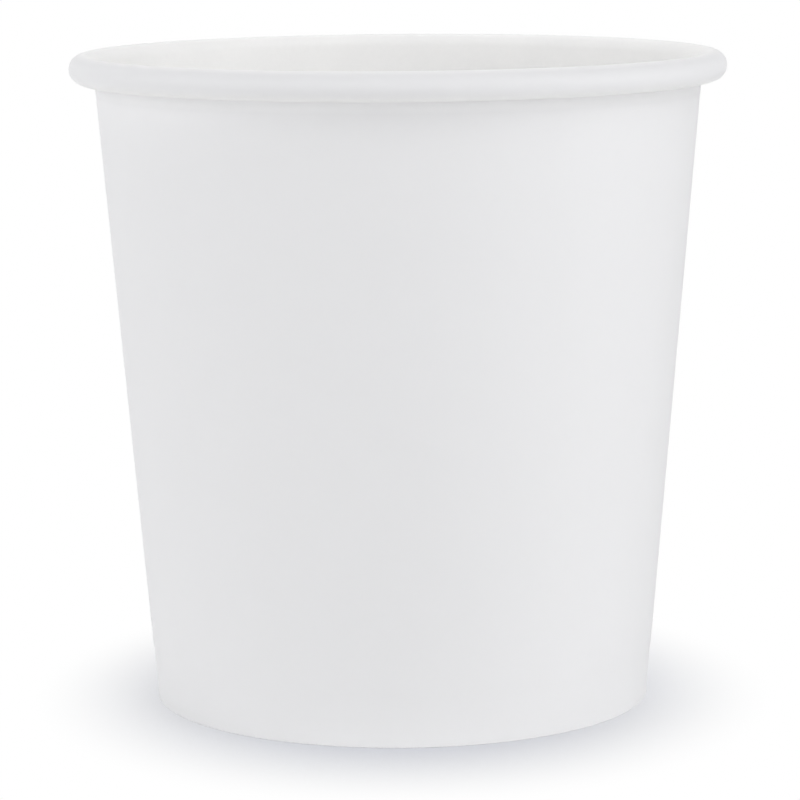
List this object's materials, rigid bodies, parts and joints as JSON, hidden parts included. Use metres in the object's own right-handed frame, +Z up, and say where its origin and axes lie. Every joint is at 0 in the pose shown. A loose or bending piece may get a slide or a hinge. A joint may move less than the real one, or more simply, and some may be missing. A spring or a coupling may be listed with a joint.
{
  "type": "paper hot cup",
  "caption": "Tapered single-wall paper cup with a rolled lip, a glued side lap, and a bottom that is held up inside a folded foot.",
  "frame": {"origin": "centre of the foot, on the table", "axes": "+Z up along the cup's axis; -Y is the front, and the glued side lap is out of its sight, round to the left"},
  "size_m": [0.062, 0.062, 0.0616],
  "materials": {
    "wall_board": "matte white board, coated inside",
    "base_board": "matte white board, coated inside"
  },
  "bodies": {
    "root": {"side_wall": "wall_board", "bottom_disc": "base_board"}
  },
  "joints": []
}
